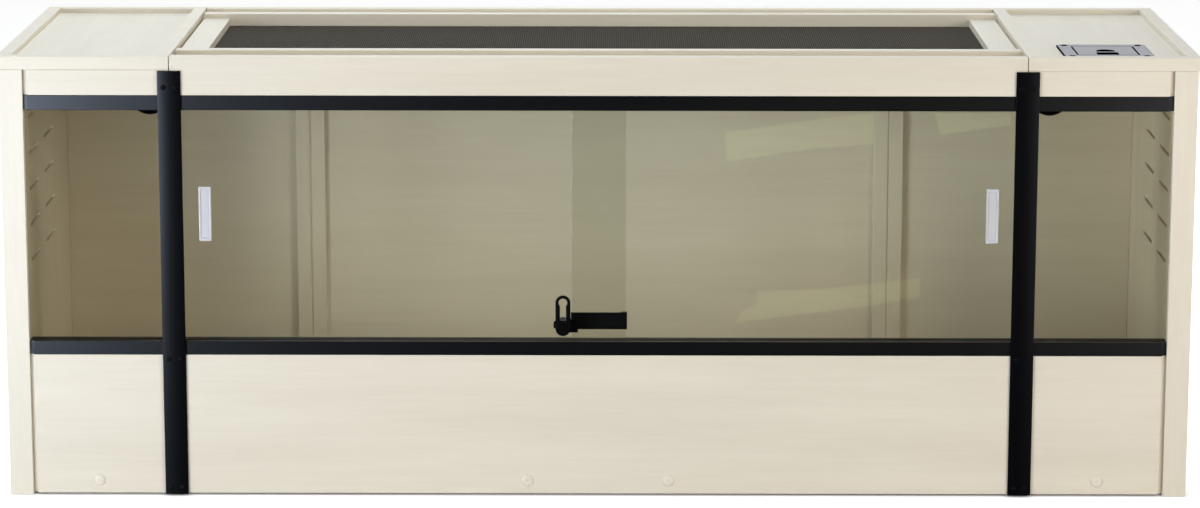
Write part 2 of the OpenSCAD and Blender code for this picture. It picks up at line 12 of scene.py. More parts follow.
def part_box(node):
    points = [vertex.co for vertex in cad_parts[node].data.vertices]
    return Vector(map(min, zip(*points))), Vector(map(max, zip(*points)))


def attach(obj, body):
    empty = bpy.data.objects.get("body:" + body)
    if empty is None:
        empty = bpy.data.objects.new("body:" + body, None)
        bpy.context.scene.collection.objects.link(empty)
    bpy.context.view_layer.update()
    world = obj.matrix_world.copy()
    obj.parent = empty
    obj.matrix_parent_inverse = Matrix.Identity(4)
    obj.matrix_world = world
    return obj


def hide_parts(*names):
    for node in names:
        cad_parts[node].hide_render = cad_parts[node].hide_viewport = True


bl_info = {
    "name": "Reptile terrarium",
    "version": (1, 0, 0),
    "blender": (4, 5, 0),
    "location": "View3D > Sidebar > Terrarium",
    "description": "Dresses a front-opening board terrarium with its finishes, mesh and fittings",
    "category": "Object",
}

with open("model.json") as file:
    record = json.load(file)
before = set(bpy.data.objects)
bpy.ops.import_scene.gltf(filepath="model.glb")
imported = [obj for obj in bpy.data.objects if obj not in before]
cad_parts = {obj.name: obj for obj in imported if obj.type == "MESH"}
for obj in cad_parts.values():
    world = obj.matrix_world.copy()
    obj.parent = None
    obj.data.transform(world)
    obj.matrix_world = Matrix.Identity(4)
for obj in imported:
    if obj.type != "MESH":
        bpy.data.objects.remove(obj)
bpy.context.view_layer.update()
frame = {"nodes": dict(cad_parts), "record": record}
MM = 0.001

# ---------------------------------------------------------------------------
# Nodes of the frame, grouped by what they are made of
# ---------------------------------------------------------------------------

BOARDS_ALONG_X = (
    "floor_left", "floor_middle", "floor_right", "back_left", "back_middle", "back_right",
    "kick_left", "kick_middle", "kick_right", "fascia_left", "fascia_middle", "fascia_right",
    "ledge_front", "ledge_back", "rear_rail", "screen_rails",
)
BOARDS_ALONG_Y = ("tray_panel_left", "tray_panel_right", "cross_rails", "screen_ends")
BOARDS_UPRIGHT = (
    "side_panel_left", "side_panel_right", "post_left", "post_right",
    "back_strip_left", "back_strip_right",
)
RIMS = ("tray_rim_left", "tray_rim_right")
TRACKS = (
    "track_bottom_left", "track_bottom_middle", "track_bottom_right",
    "track_top_left", "track_top_middle", "track_top_right",
)
PANES = {
    "pane_left": "panes", "pane_right": "panes", "door_left": "doors", "door_right": "doors",
}
SCREEN_FRAME = ("screen_rails", "screen_ends")

# Outlines of glowing cards that only mirrored rays see, which paint pale reflections on the glass,
# as (x, z) points of an upright plane.
CARD_FRONT = -1.0
CARDS = (
    ((0.243, 0.123), (0.344, 0.126), (0.494, 0.143), (0.496, 0.114), (0.418, 0.1),
     (0.208, 0.072), (0.222, 0.092), (0.243, 0.101)),
    ((0.192, 0.372), (0.35, 0.395), (0.42, 0.402), (0.421, 0.354), (0.332, 0.347),
     (0.193, 0.326)),
    ((0.512, 0.402), (0.63, 0.403), (0.631, 0.384), (0.522, 0.368)),
)

# Places shared with the frame, in metres.
FRONT = -0.25
JOINT = 0.57
BATTEN = 4 * MM
DIVIDER = 3 * MM
SCREW_HEIGHTS = (0.012, 0.1895, 0.559)
CAP_HEIGHT = 0.021
CAP_PLACES = (-0.675, -0.0955, 0.0955, 0.675)
GLIDE_PLACES = (0.19, 0.53, 0.736)
SCREW_OFF = 7.5 * MM
HATCH_SCREW_INSET = 4 * MM
GLIDE_RADIUS = 12 * MM
GROMMET_LIP = 3 * MM
HATCH_CORNER = 4 * MM
FINGER_HOLE_RADIUS = 12 * MM
FINGER_HOLE_STRAIGHT = 6 * MM
FINGER_HOLE_BEHIND_LATCH = 28 * MM

# Profiles turned about an axis, as (radius, height) in millimetres.
PAN_HEAD = ((0, 2), (1.4, 1.96), (2.2, 1.8), (2.9, 1.45), (3.3, 0.9), (3.5, 0), (3.5, -0.6))
SUNK_HEAD = ((0, 3.4), (3, 3.35), (4.1, 3.1), (4.5, 2.75), (4.6, 2.4), (4, 2.3), (2.4, 0.9),
             (2.4, 0))
CAP_DOME = ((0, 2.2), (1.1, 2.2), (1.5, 2.55), (4.4, 2.6), (5.9, 2.35), (6.9, 1.9), (7.6, 1.1),
            (8, 0.4), (8, 0))
GROMMET_RING = ((22, 1.2), (22.5, 2.3), (23.5, 3), (27.6, 3), (28.6, 2.7), (29, 2), (29, 0),
                (24.8, 0), (24.8, -17.6), (24.4, -18), (22.4, -18), (22, -17.6))
GLIDE_FOOT = ((0, 0.25), (4, 0.25), (4.6, 0), (10.8, 0), (11.7, 0.4), (12, 1.2), (12, 3))

# The finger hole's black lining, round its wall, which paints the shade inside the hole, as
# (inset, height) in millimetres.
SLEEVE_WALL = ((0.8, 0.1), (0.8, -5.5), (0.05, -5.5), (0.05, 0), (-0.5, 0), (-0.5, 0.1))

# Lights of the stage: name, setting, place, size, colour, and the point each is aimed at.
MIDDLE = (0, 0, 0.3)
LIGHTS = (
    ("Key", "key", (-2.4, -2.4, 0.45), (1.2, 1.2), (0.85, 0.91, 1.0), MIDDLE),
    ("Fill", "fill", (2.4, -2.4, 1.1), (1.2, 1.2), (1.0, 0.95, 0.91), MIDDLE),
    ("Top", "top", (-0.6, 0.1, 2.8), (2.6, 1.2), (0.76, 0.87, 1.0), MIDDLE),
    ("Back", "back", (0, 3.0, 1.5), (2.4, 1.0), (0.9, 0.95, 1.0), MIDDLE),
    ("Sheen left", "sheen_left", (-1.37, -1.6, 0.25), (0.5, 0.5), (0.69, 0.81, 1.0),
     (-0.75, -0.25, 0.5)),
    ("Sheen right", "sheen_right", (1.35, -1.6, 0.25), (0.5, 0.5), (1.0, 0.96, 1.0),
     (0.75, -0.25, 0.5)),
)
FLOOR_RADIUS = 30.0
CONTACT_SHADOW = 20 * MM


def body_of(node):
    """The body that a node belongs to, from the frame's record."""
    for body, nodes in frame["record"]["behaviour"]["bodies"].items():
        if node in nodes:
            return body
    raise KeyError(node)


def middle_of(low, high):
    """The middle of a box."""
    return [(a + b) / 2 for a, b in zip(low, high)]


# ---------------------------------------------------------------------------
# Surfaces worked out with numpy
# ---------------------------------------------------------------------------


def grid_quads(rows, columns, close_rows=False, close_columns=False):
    """Corner numbers of the quads of a rows by columns grid, each side open or closed."""
    r = np.arange(rows if close_rows else rows - 1)
    c = np.arange(columns if close_columns else columns - 1)
    r, c = np.meshgrid(r, c, indexing="ij")
    r1, c1 = (r + 1) % rows, (c + 1) % columns
    quads = np.stack([r * columns + c, r * columns + c1, r1 * columns + c1, r1 * columns + c], -1)
    return quads.reshape(-1, 4)


def turned_profile(profile, sides, closed=False):
    """Profile of (radius, height) pairs turned once about +Z: x = r cos a, y = r sin a, z = h."""
    radius, height = np.asarray(profile, float).T
    angle = np.linspace(0, 2 * math.pi, sides, endpoint=False)
    x = radius[:, None] * np.cos(angle)
    y = radius[:, None] * np.sin(angle)
    z = np.repeat(height[:, None], sides, 1)
    return np.stack([x, y, z], -1).reshape(-1, 3), grid_quads(len(radius), sides, closed, True)


def cross_head(profile, recess, reach, arm, rings=16, sides=56):
    """Screw head as heights over a polar grid, with the skirt below its rim.

    The profile's (radius, height) pairs give the head, from its middle to its foot. The cross
    takes out the recess wherever a point lies closer to the x or the y axis than half the arm's
    width and closer to the middle than the reach, and its walls slope over a quarter of an arm.
    """
    radius, height = np.asarray(profile, float).T
    run = np.concatenate([[0], np.cumsum(np.hypot(np.diff(radius), np.diff(height)))])
    along = np.unique(np.concatenate([np.linspace(0, run[-1], rings), run]))
    r, h = np.interp(along, run, radius), np.interp(along, run, height)
    angle = np.linspace(0, 2 * math.pi, sides, endpoint=False) + math.pi / sides
    x, y = r[:, None] * np.cos(angle), r[:, None] * np.sin(angle)
    off_axis = np.minimum(np.abs(x), np.abs(y))
    wall = np.clip((arm / 2 - off_axis) / (arm / 4), 0, 1)
    end = np.clip((reach - np.hypot(x, y)) / (arm / 4), 0, 1)
    z = h[:, None] - recess * wall * end
    return np.stack([x, y, z], -1).reshape(-1, 3), grid_quads(len(r), sides, False, True)


def ring_surface(rings, closed=False, steps=5):
    """Surface through round-cornered rectangles, each given as (middle x, middle y, half x,
    half y, corner radius, height); each ring runs round its corners by angle."""
    cx, cy, half_x, half_y, radius, height = np.asarray(rings, float).T[:, :, None]
    quarter = np.linspace(0, math.pi / 2, steps)
    angle = np.concatenate([quarter + k * math.pi / 2 for k in range(4)])
    side_x = np.repeat([1, -1, -1, 1], steps)
    side_y = np.repeat([1, 1, -1, -1], steps)
    x = cx + side_x * (half_x - radius) + radius * np.cos(angle)
    y = cy + side_y * (half_y - radius) + radius * np.sin(angle)
    z = height + 0 * x
    return np.stack([x, y, z], -1).reshape(-1, 3), grid_quads(len(x), 4 * steps, closed, True)


def swept_section(section, stations):
    """Closed section of (across, out) points swept along a third axis.

    Each station is (place, inset): the section's points are drawn in towards its middle by
    the inset there, which rounds the ends off.
    """
    section = np.asarray(section, float)
    middle = (section.min(0) + section.max(0)) / 2
    half = (section.max(0) - section.min(0)) / 2
    place, inset = np.asarray(stations, float).T
    scale = 1 - inset[:, None, None] / half
    points = middle + (section - middle)[None] * scale
    along = np.repeat(place[:, None, None], len(section), 1)
    points = np.concatenate([points, along], -1)
    return points.reshape(-1, 3), grid_quads(len(place), len(section), False, True)


def rounded_ends(low, high, edge):
    """Stations of a sweep from low to high whose ends are drawn in by the edge."""
    return ((low, edge), (low + edge, 0), (high - edge, 0), (high, edge))


def rounded_slab(low, high, radius, steps=4):
    """Box with round edges: a sphere's normals times the radius, added to the inner corners.

    Each quarter of the sphere repeats its end lines, so the jump from one inner corner to the
    next makes the flat faces.
    """
    low, high = np.asarray(low, float), np.asarray(high, float)
    quarter = np.linspace(0, math.pi / 2, steps)
    around = np.concatenate([quarter + k * math.pi / 2 for k in range(4)])
    up = np.concatenate([quarter - math.pi / 2, quarter])
    side_x = np.repeat([1, -1, -1, 1], steps)
    side_y = np.repeat([1, 1, -1, -1], steps)
    side_z = np.repeat([-1, 1], steps)
    normal = np.stack([
        np.cos(up)[:, None] * np.cos(around),
        np.cos(up)[:, None] * np.sin(around),
        np.repeat(np.sin(up)[:, None], len(around), 1),
    ], -1)
    side = np.stack(np.broadcast_arrays(side_x, side_y, side_z[:, None]), -1)
    middle, half = (low + high) / 2, (high - low) / 2 - radius
    points = middle + side * half + normal * radius
    return points.reshape(-1, 3), grid_quads(len(up), len(around), False, True)


def placed(part, place, axis="+Z"):
    """Turns a part from +Z to "-Y" or "+X", or leaves it, and moves it to a place."""
    points, quads = part
    x, y, z = points.T
    if axis == "-Y":
        points = np.stack([x, -z, y], 1)
    elif axis == "+X":
        points = np.stack([z, x, y], 1)
    return points + np.asarray(place, float), quads


def merged(parts):
    """One list of points and quads from several."""
    points, quads, base = [], [], 0
    for p, q in parts:
        points.append(p)
        quads.append(q + base)
        base += len(p)
    return np.concatenate(points), np.concatenate(quads)


def new_piece(name, parts, material, body, stands_for=(), smooth=40):
    """Makes one object from surfaces, closes its poles and seams, and rides it on a body."""
    points, quads = merged(parts)
    mesh = bpy.data.meshes.new(name)
    mesh.from_pydata(points.tolist(), [], quads.tolist())
    work = bmesh.new()
    work.from_mesh(mesh)
    bmesh.ops.remove_doubles(work, verts=work.verts, dist=1e-7)
    bmesh.ops.dissolve_degenerate(work, edges=work.edges, dist=1e-7)
    ends = [e for e in work.edges if e.is_boundary]
    if ends:
        bmesh.ops.holes_fill(work, edges=ends, sides=0)
    bmesh.ops.recalc_face_normals(work, faces=work.faces)
    work.to_mesh(mesh)
    work.free()
    piece = finish_piece(name, mesh, material, body, stands_for, smooth)
    piece.modifiers.new("Face normals", "WEIGHTED_NORMAL").keep_sharp = True
    return piece


def finish_piece(name, mesh, material, body, stands_for, smooth):
    """Shades a mesh, links it as an object at the origin, rides it on its body and hides the nodes
    it stands for.
    """
    mesh.materials.clear()
    mesh.materials.append(material)
    mesh.shade_smooth()
    mesh.set_sharp_from_angle(angle=math.radians(smooth))
    piece = bpy.data.objects.new(name, mesh)
    bpy.context.scene.collection.objects.link(piece)
    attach(piece, body)
    if stands_for:
        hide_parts(*stands_for)
    return piece


def softened_copy(node, material, radius, longer=0.0):
    """Copy of a node with its flat faces joined and its sharp edges rounded by a bevel.

    Its outer ends along X can be moved out, which narrows the gap there to a shadow line.
    """
    mesh = frame["nodes"][node].data.copy()
    mesh.name = node + "_soft"
    work = bmesh.new()
    work.from_mesh(mesh)
    outer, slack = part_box(node)[1].x, 0.5 * MM
    for vert in work.verts:
        if abs(vert.co.x) > outer - slack:
            vert.co.x += math.copysign(longer, vert.co.x)
    bmesh.ops.remove_doubles(work, verts=work.verts, dist=1e-6)
    bmesh.ops.dissolve_limit(
        work, angle_limit=math.radians(1), verts=work.verts, edges=work.edges)
    work.to_mesh(mesh)
    work.free()
    piece = finish_piece(
        node + "_soft", mesh, material, body_of(node), (node,), 30)
    bevel = piece.modifiers.new("Soft edges", "BEVEL")
    bevel.width = radius
    bevel.segments = 2
    bevel.limit_method = "ANGLE"
    bevel.angle_limit = math.radians(40)
    piece.modifiers.new("Face normals", "WEIGHTED_NORMAL").keep_sharp = True
    return piece


# ---------------------------------------------------------------------------
# Shader node groups shared by the finishes
# ---------------------------------------------------------------------------


def new_group(name, inputs, outputs):
    """A new node group with its input and output nodes.

    Inputs are (name, kind of socket, default or None), outputs are (name, kind of socket).
    """
    group = bpy.data.node_groups.new(name, "ShaderNodeTree")
    for label, kind, default in inputs:
        made = group.interface.new_socket(
            name=label, in_out="INPUT", socket_type="NodeSocket" + kind)
        if default is not None:
            made.default_value = default
    for label, kind in outputs:
        group.interface.new_socket(
            name=label, in_out="OUTPUT", socket_type="NodeSocket" + kind)
    return group, group.nodes.new("NodeGroupInput"), group.nodes.new("NodeGroupOutput")


def set_inputs(node, values):
    """Sets the plain values of a node's inputs by their names."""
    for name, value in values.items():
        node.inputs[name].default_value = value


def math_node(tree, operation, first, second):
    """Adds a Math node whose inputs are sockets or numbers, and returns its output."""
    made = tree.nodes.new("ShaderNodeMath")
    made.operation = operation
    for socket, value in zip(made.inputs, (first, second)):
        if isinstance(value, bpy.types.NodeSocket):
            tree.links.new(value, socket)
        else:
            socket.default_value = value
    return made.outputs[0]


def noise_node(tree, vector, scale, detail, rough=0.5):
    """Adds a Noise Texture on a vector, and returns its factor."""
    made = tree.nodes.new("ShaderNodeTexNoise")
    set_inputs(made, {"Scale": scale, "Detail": detail, "Roughness": rough})
    tree.links.new(vector, made.inputs["Vector"])
    return made.outputs["Fac"]


def colour_mix(tree, factor, first, second):
    """Adds a Mix node between two colours, given as sockets or numbers, and returns its output."""
    made = tree.nodes.new("ShaderNodeMix")
    made.data_type = "RGBA"
    tree.links.new(factor, made.inputs["Factor"])
    for socket, value in ((made.inputs["A"], first), (made.inputs["B"], second)):
        if isinstance(value, bpy.types.NodeSocket):
            tree.links.new(value, socket)
        else:
            socket.default_value = (*value, 1)
    return made.outputs["Result"]


def group_node(tree, group, vector):
    """Adds a node group that reads a vector."""
    made = tree.nodes.new("ShaderNodeGroup")
    made.node_tree = group
    tree.links.new(vector, made.inputs["Vector"])
    return made


def grain_group():
    """Wood print: broad bands and fine streaks along the grain, as a colour and a height."""
    if "Wood print" in bpy.data.node_groups:
        return bpy.data.node_groups["Wood print"]
    g, start, end = new_group(
        "Wood print",
        (("Vector", "Vector", None), ("Pale", "Color", (1, 1, 1, 1)),
         ("Deep", "Color", (0.8, 0.8, 0.8, 1))),
        (("Colour", "Color"), ("Height", "Float")))
    bands = noise_node(g, start.outputs["Vector"], scale=3.0, detail=3.0)
    streaks = noise_node(g, start.outputs["Vector"], scale=22.0, detail=5.0, rough=0.65)
    fibres = noise_node(g, start.outputs["Vector"], scale=110.0, detail=2.0)
    both = math_node(g, "ADD", math_node(g, "MULTIPLY", bands, 0.55),
                     math_node(g, "MULTIPLY", streaks, 0.45))
    spread = g.nodes.new("ShaderNodeMapRange")
    set_inputs(spread, {"From Min": 0.36, "From Max": 0.64})
    g.links.new(both, spread.inputs["Value"])
    blend = colour_mix(
        g, spread.outputs["Result"], start.outputs["Deep"], start.outputs["Pale"])
    g.links.new(blend, end.inputs["Colour"])
    g.links.new(math_node(g, "ADD", streaks, math_node(g, "MULTIPLY", fibres, 0.5)),
                end.inputs["Height"])
    return g


def texture_group():
    """Moulded or coated skin: fine bumps and a slow change in gloss and shade."""
    if "Fine skin" in bpy.data.node_groups:
        return bpy.data.node_groups["Fine skin"]
    g, start, end = new_group(
        "Fine skin",
        (("Vector", "Vector", None), ("Scale", "Float", 900.0), ("Rough", "Float", 0.4),
         ("Spread", "Float", 0.1)),
        (("Roughness", "Float"), ("Height", "Float"), ("Shade", "Float")))
    fine = g.nodes.new("ShaderNodeTexNoise")
    set_inputs(fine, {"Detail": 2.0})
    g.links.new(start.outputs["Vector"], fine.inputs["Vector"])
    g.links.new(start.outputs["Scale"], fine.inputs["Scale"])
    slow = noise_node(g, start.outputs["Vector"], scale=14.0, detail=3.0)
    centred = math_node(g, "SUBTRACT", slow, 0.5)
    g.links.new(
        math_node(g, "ADD", start.outputs["Rough"],
                  math_node(g, "MULTIPLY", centred, start.outputs["Spread"])),
        end.inputs["Roughness"])
    g.links.new(fine.outputs["Fac"], end.inputs["Height"])
    g.links.new(slow, end.inputs["Shade"])
    return g


def new_material(name):
    """A new node material, its tree, its shader and the socket of its Object coordinates."""
    material = bpy.data.materials.new(name)
    material.use_nodes = True
    tree = material.node_tree
    shader = tree.nodes["Principled BSDF"]
    place = tree.nodes.new("ShaderNodeTexCoord")
    return material, tree, shader, place.outputs["Object"]


def stretch(tree, vector, scale):
    """Scales a vector with a Mapping node."""
    made = tree.nodes.new("ShaderNodeMapping")
    set_inputs(made, {"Scale": scale})
    tree.links.new(vector, made.inputs["Vector"])
    return made.outputs["Vector"]


def add_bump(tree, shader, height, strength, distance):
    """Feeds a height into the shader's normal."""
    made = tree.nodes.new("ShaderNodeBump")
    set_inputs(made, {"Strength": strength, "Distance": distance})
    tree.links.new(height, made.inputs["Height"])
    tree.links.new(made.outputs["Normal"], shader.inputs["Normal"])


def board_material(name, scale, pale, deep, gloss):
    """Coated board: a pale wood print with its grain along one axis, under a satin film."""
    material, tree, shader, place = new_material(name)
    print_node = group_node(tree, grain_group(), stretch(tree, place, scale))
    set_inputs(print_node, {"Pale": (*pale, 1), "Deep": (*deep, 1)})
    tree.links.new(print_node.outputs["Colour"], shader.inputs["Base Color"])
    skin = group_node(tree, texture_group(), place)
    set_inputs(skin, {"Rough": gloss, "Spread": 0.12})
    tree.links.new(skin.outputs["Roughness"], shader.inputs["Roughness"])
    set_inputs(shader, {"Specular IOR Level": 0.31})
    add_bump(tree, shader, print_node.outputs["Height"], strength=0.05, distance=0.4 * MM)
    return material


def skin_material(name, colour, gloss, specular=0.5, scale=900.0, bump=0.08, stretch_by=None,
                  metallic=0.0):
    """Moulded, painted or metal skin: one colour that drifts a little, with fine bumps."""
    material, tree, shader, place = new_material(name)
    source = stretch(tree, place, stretch_by) if stretch_by else place
    skin = group_node(tree, texture_group(), source)
    set_inputs(skin, {"Scale": scale, "Rough": gloss, "Spread": 0.14})
    tree.links.new(skin.outputs["Roughness"], shader.inputs["Roughness"])
    darker, lighter = [c * 0.93 for c in colour], [min(1, c * 1.07) for c in colour]
    tree.links.new(colour_mix(tree, skin.outputs["Shade"], darker, lighter),
                   shader.inputs["Base Color"])
    set_inputs(shader, {"Specular IOR Level": specular, "Metallic": metallic})
    add_bump(tree, shader, skin.outputs["Height"], strength=bump, distance=0.3 * MM)
    return material


def glass_material(name, tint):
    """Float glass: clear, tinted, mirror smooth, and open to rays that light what is behind."""
    material, tree, shader, place = new_material(name)
    set_inputs(shader, {"Base Color": (*tint, 1), "Transmission Weight": 1.0, "IOR": 1.5,
                        "Roughness": 0.0})
    film = noise_node(tree, stretch(tree, place, (2, 2, 5)), scale=2.0, detail=2.0)
    tree.links.new(colour_mix(tree, film, [c * 0.985 for c in tint], tint),
                   shader.inputs["Base Color"])
    path = tree.nodes.new("ShaderNodeLightPath")
    lets_through = math_node(
        tree, "MAXIMUM", path.outputs["Is Shadow Ray"], path.outputs["Is Diffuse Ray"])
    clear = tree.nodes.new("ShaderNodeBsdfTransparent")
    set_inputs(clear, {"Color": (*tint, 1)})
    choice = tree.nodes.new("ShaderNodeMixShader")
    tree.links.new(lets_through, choice.inputs[0])
    tree.links.new(shader.outputs[0], choice.inputs[1])
    tree.links.new(clear.outputs[0], choice.inputs[2])
    tree.links.new(choice.outputs[0], tree.nodes["Material Output"].inputs["Surface"])
    return material


MATERIALS = {}


def material(name):
    """The named finish, made when it is first asked for, from the colours in the settings."""
    if name not in MATERIALS:
        MATERIALS[name] = MAKERS[name](bpy.context.scene.terrarium_finish)
    return MATERIALS[name]


def board(name, scale):
    """Maker of the board finish with its grain along one axis."""
    return lambda s: board_material(name, scale, s.board_pale, s.board_deep, s.board_gloss)


MAKERS = {
    "board_x": board("Cream board, grain along X", (0.55, 9, 9)),
    "board_y": board("Cream board, grain along Y", (9, 0.55, 9)),
    "board_z": board("Cream board, upright grain", (9, 9, 0.55)),
    "track": lambda s: skin_material(
        "Black track", s.black, 0.33, 0.28, scale=300.0, bump=0.05, stretch_by=(0.05, 1, 1)),
    "batten": lambda s: skin_material(
        "Black batten", s.black, 0.36, 0.07, scale=300.0, bump=0.05, stretch_by=(1, 1, 0.05)),
    "doors": lambda s: glass_material("Door glass", s.doors),
    # The pane glass is tinted darker than the doors' to paint shade in the side bays.
    "panes": lambda s: glass_material("Pane glass", s.panes),
    "wire": lambda s: skin_material("Black coated wire", s.wire, 0.7, 0.2),
    "black_metal": lambda s: skin_material("Black lock coating", s.black, 0.35, 0.1),
    "screw": lambda s: skin_material("Black screw", s.black, 0.6, 0.1),
    "black_plastic": lambda s: skin_material("Black moulding", s.black, 0.9, 0.0),
    "cream_plastic": lambda s: skin_material("Cream moulding", s.board_pale, 0.4, 0.4),
    "frosted": lambda s: skin_material(
        "Frosted pull", (0.6, 0.59, 0.6), 0.3, scale=400.0, bump=0.1),
    "grey_plastic": lambda s: skin_material(
        "Grey hatch moulding", s.grey, 0.42, 0.4, scale=1400.0, bump=0.2),
    "steel": lambda s: skin_material(
        "Pin steel", (0.6, 0.6, 0.62), 0.25, scale=600.0, bump=0.05, metallic=1.0),
    "nylon": lambda s: skin_material("Nylon glide", (0.6, 0.59, 0.56), 0.5),
}


def stage_mesh(name, points, faces, paint, values):
    """Links one mesh of the stage, and returns it with its material's node tree and shader."""
    mesh = bpy.data.meshes.new(name)
    mesh.from_pydata(points, [], faces)
    made = bpy.data.objects.new(name, mesh)
    bpy.context.scene.collection.objects.link(made)
    finish = bpy.data.materials.new(paint)
    finish.use_nodes = True
    tree = finish.node_tree
    shader = tree.nodes["Principled BSDF"]
    set_inputs(shader, values)
    mesh.materials.append(finish)
    return made, tree, shader


# ---------------------------------------------------------------------------
# Settings
# ---------------------------------------------------------------------------


def colour_setting(name, description, default):
    """A colour that a user may change."""
    return FloatVectorProperty(
        name=name, description=description, default=default, size=3, min=0, max=1,
        subtype="COLOR")


def length_setting(name, description, default):
    """A length in metres that a user may change."""
    return FloatProperty(
        name=name, description=description, default=default, min=0, unit="LENGTH",
        precision=5)


def angle_setting(name, description, degrees):
    """An angle, given in degrees, that a user may change."""
    return FloatProperty(
        name=name, description=description, default=math.radians(degrees), subtype="ANGLE")


def power_setting(name, description, default):
    """The power of a light in watts."""
    return FloatProperty(name=name, description=description, default=default, unit="POWER")


class TerrariumFinish(PropertyGroup):
    """Colours and gloss of the finishes."""

    board_pale: colour_setting(
        "Board, pale", "Lighter colour of the wood print", (0.79, 0.72, 0.585))
    board_deep: colour_setting(
        "Board, deep", "Darker colour of the wood print", (0.735, 0.662, 0.53))
    board_gloss: FloatProperty(
        name="Board roughness", description="Roughness of the boards' film", default=0.42,
        min=0, max=1)
    black: colour_setting("Black", "Tracks, battens, lock and grommets", (0.002, 0.002, 0.0028))
    wire: colour_setting("Wire", "Coated wire of the screen", (0.1, 0.086, 0.066))
    grey: colour_setting("Hatch grey", "Plate and lid of the feeding hatch", (0.3, 0.295, 0.305))
    doors: colour_setting(
        "Door tint", "Colour of the light through one door", (0.919, 0.93, 0.886))
    # The panes are the same glass as the doors; their darker, warmer tint paints the deeper shade
    # of the side bays behind them.
    panes: colour_setting(
        "Pane tint with painted bay shade", "Colour of the light through a fixed pane", (0.902, 0.89, 0.815))


class TerrariumSizes(PropertyGroup):
    """Sizes of the dressed pieces."""

    edge: length_setting("Board edge", "Rounding of the boards' edges", 0.8 * MM)
    frame_reach: length_setting(
        "Frame reach", "How much nearer the screen's frame comes to the trays", 2.0 * MM)
    track_edge: length_setting("Track edge", "Rounding of tracks and battens", 0.5 * MM)
    glass_edge: length_setting("Glass edge", "Ground edge of the panes", 0.4 * MM)
    wire_pitch: length_setting("Wire pitch", "Distance from one wire to the next", 3.0 * MM)
    wire: length_setting("Wire", "Thickness of a wire", 0.48 * MM)
    screw_recess: length_setting("Screw recess", "Depth of the cross in a screw head", 0.9 * MM)
    crown: length_setting("Batten crown", "How much lower a batten is at its edges", 1.2 * MM)
    pull_rim: length_setting("Pull rim", "Width of the rim round a pull's hollow", 2.5 * MM)
    pull_dish: length_setting("Pull hollow", "Depth of a pull's hollow", 1.4 * MM)
    lock_edge: length_setting("Lock edge", "Rounding of the lock's edges", 0.5 * MM)
    hatch_edge: length_setting("Hatch edge", "Rounding of the hatch's edges", 0.35 * MM)


class TerrariumStage(PropertyGroup):
    """Camera, floor and light."""

    camera_place: FloatVectorProperty(
        name="Camera", description="Place of the camera", default=(0.0193, -5.2551, 1.3351),
        unit="LENGTH")
    pitch: angle_setting("Pitch", "How far the camera looks down", 11.309)
    yaw: angle_setting("Yaw", "How far the camera turns left", 0.192)
    roll: angle_setting("Roll", "How far the camera leans", 0.06)
    lens: FloatProperty(name="Lens", description="Focal length in millimetres", default=114.4)
    world: FloatProperty(
        name="World", description="Strength of the surrounding light", default=0.19)
    mirrored: FloatProperty(
        name="Mirrored", description="Strength of the surroundings in front, in reflections",
        default=0.012)
    # The cards glow but light nothing: their strength sets the painted reflections on the glass.
    cards: FloatProperty(
        name="Cards", description="Strength of the pale cards that the glass mirrors",
        default=1.3)
    lift: FloatProperty(
        name="Floor lift", description="Light added to the floor for the camera", default=0.78)
    key: power_setting("Key", "Power of the large light at the left", 64.5)
    fill: power_setting("Fill", "Power of the light at the right", 43.5)
    top: power_setting("Top", "Power of the light above", 48.0)
    back: power_setting("Back", "Power of the light behind the cabinet", 50.0)
    sheen_left: power_setting("Sheen, left", "Power of the light in the left sheen", 41.0)
    sheen_right: power_setting("Sheen, right", "Power of the light in the right sheen", 6.0)


# ---------------------------------------------------------------------------
# Operators, one for each piece or group of like pieces
# ---------------------------------------------------------------------------


class TERRARIUM_OT_boards(Operator):
    """Round the boards' edges and give them their wood print"""

    bl_idname = "terrarium.boards"
    bl_label = "Boards"

    def execute(self, context):
        sizes = context.scene.terrarium_sizes
        for nodes, finish in ((BOARDS_ALONG_X, "board_x"), (BOARDS_ALONG_Y, "board_y"),
                              (BOARDS_UPRIGHT, "board_z"), (RIMS, "board_x")):
            for node in nodes:
                longer = sizes.frame_reach if node in SCREEN_FRAME else 0.0
                softened_copy(node, material(finish), sizes.edge, longer)
        return {"FINISHED"}


class TERRARIUM_OT_tracks(Operator):
    """Round the edges of the glass tracks"""

    bl_idname = "terrarium.tracks"
    bl_label = "Tracks"

    def execute(self, context):
        edge = context.scene.terrarium_sizes.track_edge
        for node in TRACKS:
            softened_copy(node, material("track"), edge)
        return {"FINISHED"}


